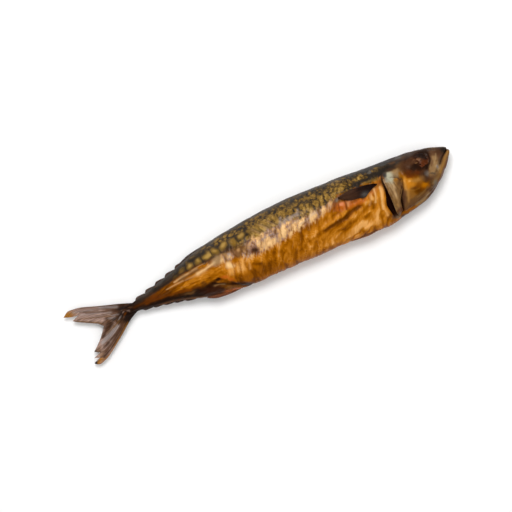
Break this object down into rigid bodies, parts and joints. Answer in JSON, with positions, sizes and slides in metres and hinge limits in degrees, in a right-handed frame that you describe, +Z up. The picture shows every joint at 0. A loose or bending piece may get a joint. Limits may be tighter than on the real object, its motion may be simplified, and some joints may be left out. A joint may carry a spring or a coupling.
{
  "type": "smoked fish",
  "caption": "Whole hot-smoked mackerel lying on its side, one solid with a forked tail fin, finlets, folded fins, open gill covers, a closed mouth and sunken eyes.",
  "frame": {"origin": "the middle of the fish's box, on the surface that its left flank lies on", "axes": "+X from the tail to the snout, +Y from the belly to the back, +Z up out of the shown right flank"},
  "size_m": [0.34, 0.0572, 0.0337],
  "materials": {
    "smoked_skin": "glossy oiled smoked skin, golden brown below and dark with olive-gold markings along the back",
    "smoked_fins": "dry translucent fin membrane over thin rays, grey-brown with amber edges",
    "smoked_head": "satin bony plates, pale olive on the gill cover and amber brown on the cheek",
    "fish_eye": "dark brown glossy sunken eye"
  },
  "bodies": {
    "root": {"fish": "smoked_skin"}
  },
  "joints": []
}
